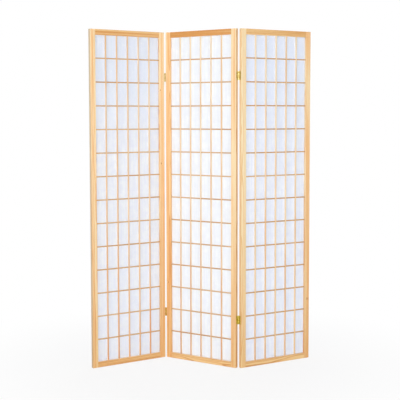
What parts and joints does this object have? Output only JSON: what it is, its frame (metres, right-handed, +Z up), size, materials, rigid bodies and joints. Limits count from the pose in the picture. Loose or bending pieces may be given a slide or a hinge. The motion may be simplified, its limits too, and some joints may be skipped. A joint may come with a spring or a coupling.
{
  "type": "folding screen",
  "caption": "Free-standing folding screen of hinged wooden lattice panels backed with white paper, standing in a zigzag to divide a room.",
  "frame": {"origin": "on the floor, under the middle of the box round the standing screen", "axes": "+X along the screen to the right as seen from its lattice side, +Y away from that side, +Z up"},
  "size_m": [1.1752, 0.2456, 1.784],
  "materials": {
    "stile_wood": "pale pine, clear satin lacquer",
    "rail_wood": "pale orange pine, clear satin lacquer",
    "lattice_wood": "pine strips, clear satin lacquer",
    "dowel_wood": "plain beech, glued in",
    "paper": "white fibrous paper, matt, lets light through",
    "hinge_brass": "brass plated, satin",
    "screw_brass": "brass plated"
  },
  "bodies": {
    "middle_panel": {"middle_panel_left_stile": "stile_wood", "middle_panel_right_stile": "stile_wood", "middle_panel_top_rail": "rail_wood", "middle_panel_bottom_rail": "rail_wood", "middle_panel_upright_1": "lattice_wood", "middle_panel_upright_2": "lattice_wood", "middle_panel_upright_3": "lattice_wood", "middle_panel_upright_4": "lattice_wood", "middle_panel_upright_5": "lattice_wood", "middle_panel_cross_bars": "lattice_wood", "middle_panel_paper": "paper", "middle_panel_dowels": "dowel_wood", "left_upper_hinge_inner_leaf": "hinge_brass", "left_upper_hinge_pin": "hinge_brass", "left_upper_hinge_inner_screws": "screw_brass", "left_lower_hinge_inner_leaf": "hinge_brass", "left_lower_hinge_pin": "hinge_brass", "left_lower_hinge_inner_screws": "screw_brass", "right_upper_hinge_inner_leaf": "hinge_brass", "right_upper_hinge_pin": "hinge_brass", "right_upper_hinge_inner_screws": "screw_brass", "right_lower_hinge_inner_leaf": "hinge_brass", "right_lower_hinge_pin": "hinge_brass", "right_lower_hinge_inner_screws": "screw_brass"},
    "left_panel": {"left_panel_left_stile": "stile_wood", "left_panel_right_stile": "stile_wood", "left_panel_top_rail": "rail_wood", "left_panel_bottom_rail": "rail_wood", "left_panel_upright_1": "lattice_wood", "left_panel_upright_2": "lattice_wood", "left_panel_upright_3": "lattice_wood", "left_panel_upright_4": "lattice_wood", "left_panel_upright_5": "lattice_wood", "left_panel_cross_bars": "lattice_wood", "left_panel_paper": "paper", "left_panel_dowels": "dowel_wood", "left_upper_hinge_outer_leaf": "hinge_brass", "left_upper_hinge_outer_screws": "screw_brass", "left_lower_hinge_outer_leaf": "hinge_brass", "left_lower_hinge_outer_screws": "screw_brass"},
    "right_panel": {"right_panel_left_stile": "stile_wood", "right_panel_right_stile": "stile_wood", "right_panel_top_rail": "rail_wood", "right_panel_bottom_rail": "rail_wood", "right_panel_upright_1": "lattice_wood", "right_panel_upright_2": "lattice_wood", "right_panel_upright_3": "lattice_wood", "right_panel_upright_4": "lattice_wood", "right_panel_upright_5": "lattice_wood", "right_panel_cross_bars": "lattice_wood", "right_panel_paper": "paper", "right_panel_dowels": "dowel_wood", "right_upper_hinge_outer_leaf": "hinge_brass", "right_upper_hinge_outer_screws": "screw_brass", "right_lower_hinge_outer_leaf": "hinge_brass", "right_lower_hinge_outer_screws": "screw_brass"}
  },
  "joints": [
    {"name": "left_panel_fold", "type": "hinge", "parent": "middle_panel", "child": "left_panel", "pos_m": [-0.20018, 0.10536, 0.9], "axis": [0, 0, 1], "range_deg": [-63, 117]},
    {"name": "right_panel_fold", "type": "hinge", "parent": "middle_panel", "child": "right_panel", "pos_m": [0.19132, -0.10476, 0.9], "axis": [0, 0, 1], "range_deg": [-60.5, 119.5]}
  ]
}
